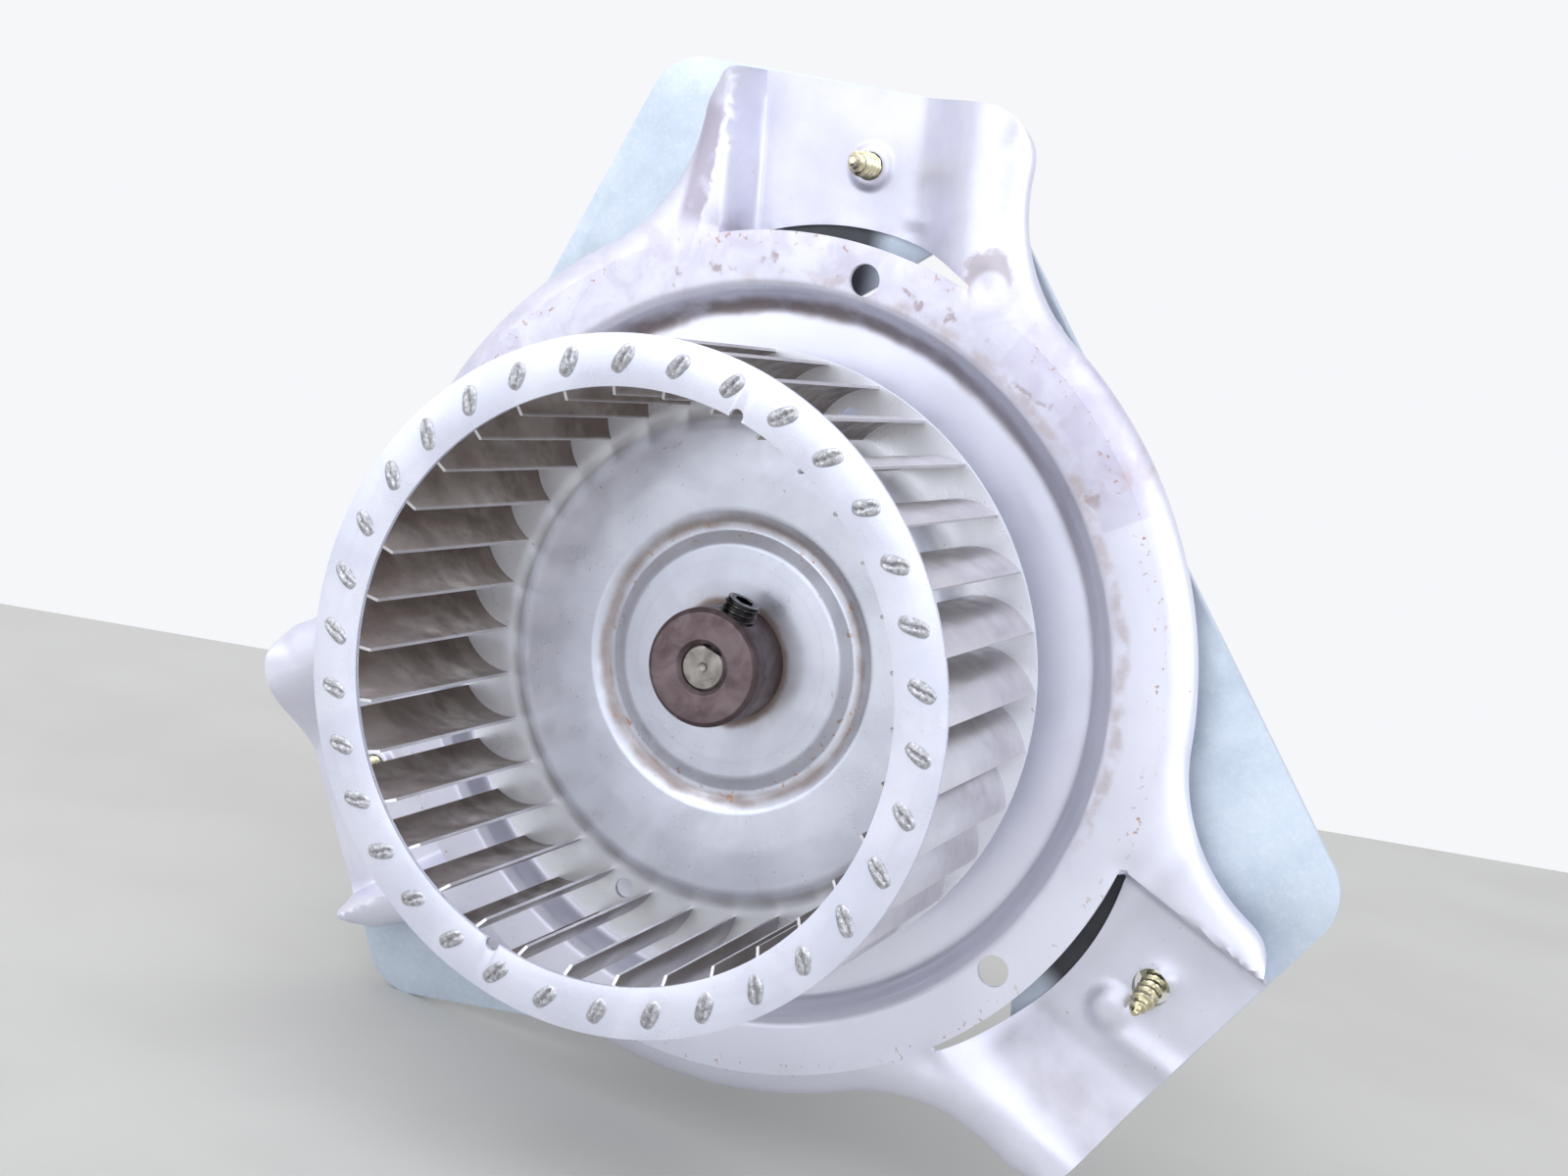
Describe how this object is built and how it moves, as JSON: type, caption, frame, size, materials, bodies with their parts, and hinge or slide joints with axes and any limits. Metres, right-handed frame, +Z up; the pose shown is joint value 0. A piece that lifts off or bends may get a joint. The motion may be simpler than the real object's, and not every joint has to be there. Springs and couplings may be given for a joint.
{
  "type": "combustion fan",
  "caption": "Draught inducer fan: forward-curved centrifugal wheel on a shaded-pole motor, held by a dished three-lug front plate with a rear motor plate.",
  "frame": {"origin": "centre of the three mounting holes, in the front face of the front plate, on the shaft axis", "axes": "-Y along the shaft towards the wheel, out of the front plate; +Z up through the centre line of one lug; +X to the right seen from the front"},
  "size_m": [0.2048, 0.1397, 0.1865],
  "materials": {
    "front_plate_steel": "satin, heat-tinted",
    "galvanised_plate": "matt galvanised",
    "wheel_steel": "satin galvanised",
    "hub_steel": "dark phosphated steel",
    "black_oxide": "black oxide",
    "shaft_steel": "ground",
    "yellow_zinc": "yellow zinc plate",
    "bright_zinc": "bright zinc plate",
    "cast_aluminium": "die cast, matt",
    "sheet_aluminium": "satin",
    "lamination_steel": "blued laminations",
    "cage_aluminium": "cast",
    "sintered_bronze": "porous, oiled",
    "felt": "oiled felt",
    "seal_graphite": "graphite",
    "copper": "bare copper",
    "enamelled_copper": "enamelled winding, varnished",
    "white_nylon": "moulded",
    "black_phenolic": "moulded",
    "tinned_brass": "tinned"
  },
  "bodies": {
    "frame": {"front_plate": "front_plate_steel", "motor_plate": "galvanised_plate", "lug_screws": "yellow_zinc", "seal_retainer": "bright_zinc", "seal_washer": "seal_graphite", "seal_rivets": "cast_aluminium", "motor_front_shield": "cast_aluminium", "motor_rear_shield": "cast_aluminium", "front_bearing": "sintered_bronze", "rear_bearing": "sintered_bronze", "oil_wicks": "felt", "bearing_retainers": "bright_zinc", "stator_core": "lamination_steel", "coil_bobbins": "white_nylon", "stator_coils": "enamelled_copper", "shading_rings": "copper", "thermal_protector": "black_phenolic", "terminal_block": "black_phenolic", "terminal_tabs": "tinned_brass", "ground_screw": "bright_zinc", "through_bolts": "bright_zinc", "through_bolt_nuts": "bright_zinc"},
    "rotor": {"rotor_core": "lamination_steel", "rotor_cage": "cage_aluminium", "motor_shaft": "shaft_steel", "thrust_washers": "white_nylon", "rotor_spacers": "shaft_steel", "cooling_fan_hub": "cast_aluminium", "cooling_fan_blades": "sheet_aluminium", "wheel_blades": "wheel_steel", "wheel_front_ring": "wheel_steel", "wheel_back_plate": "wheel_steel", "wheel_hub": "hub_steel", "hub_set_screw": "black_oxide"}
  },
  "joints": [
    {"name": "shaft_spin", "type": "hinge", "parent": "frame", "child": "rotor", "pos_m": [0, 0, 0], "axis": [0, 1, 0], "continuous": true}
  ]
}
